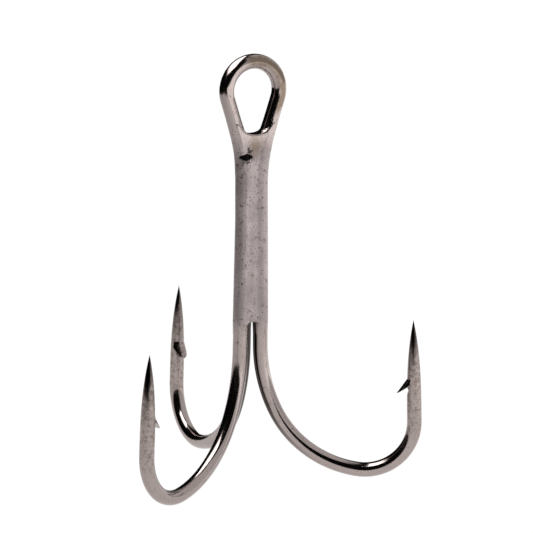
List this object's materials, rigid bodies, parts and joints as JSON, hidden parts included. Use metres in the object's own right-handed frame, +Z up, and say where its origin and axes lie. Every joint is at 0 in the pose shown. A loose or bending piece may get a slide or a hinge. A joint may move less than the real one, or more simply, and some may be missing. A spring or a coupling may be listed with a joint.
{
  "type": "treble hook",
  "caption": "Round-bend barbed treble hook with a long straight shank, a looped wire eye and brazed shanks.",
  "frame": {"origin": "on the shank axis, in the plane that the bends stand on", "axes": "+Z up the shank to the eye; the single hook points along -Y, and the eye lies across X"},
  "size_m": [0.0392, 0.0342, 0.0549],
  "materials": {
    "hook_wire": "smoked nickel plate, glossy, with fine pits and stains",
    "braze": "plated over with the wire, semi-gloss, pitted"
  },
  "bodies": {
    "root": {"double_hook": "hook_wire", "single_hook": "hook_wire", "shank_braze": "braze"}
  },
  "joints": []
}
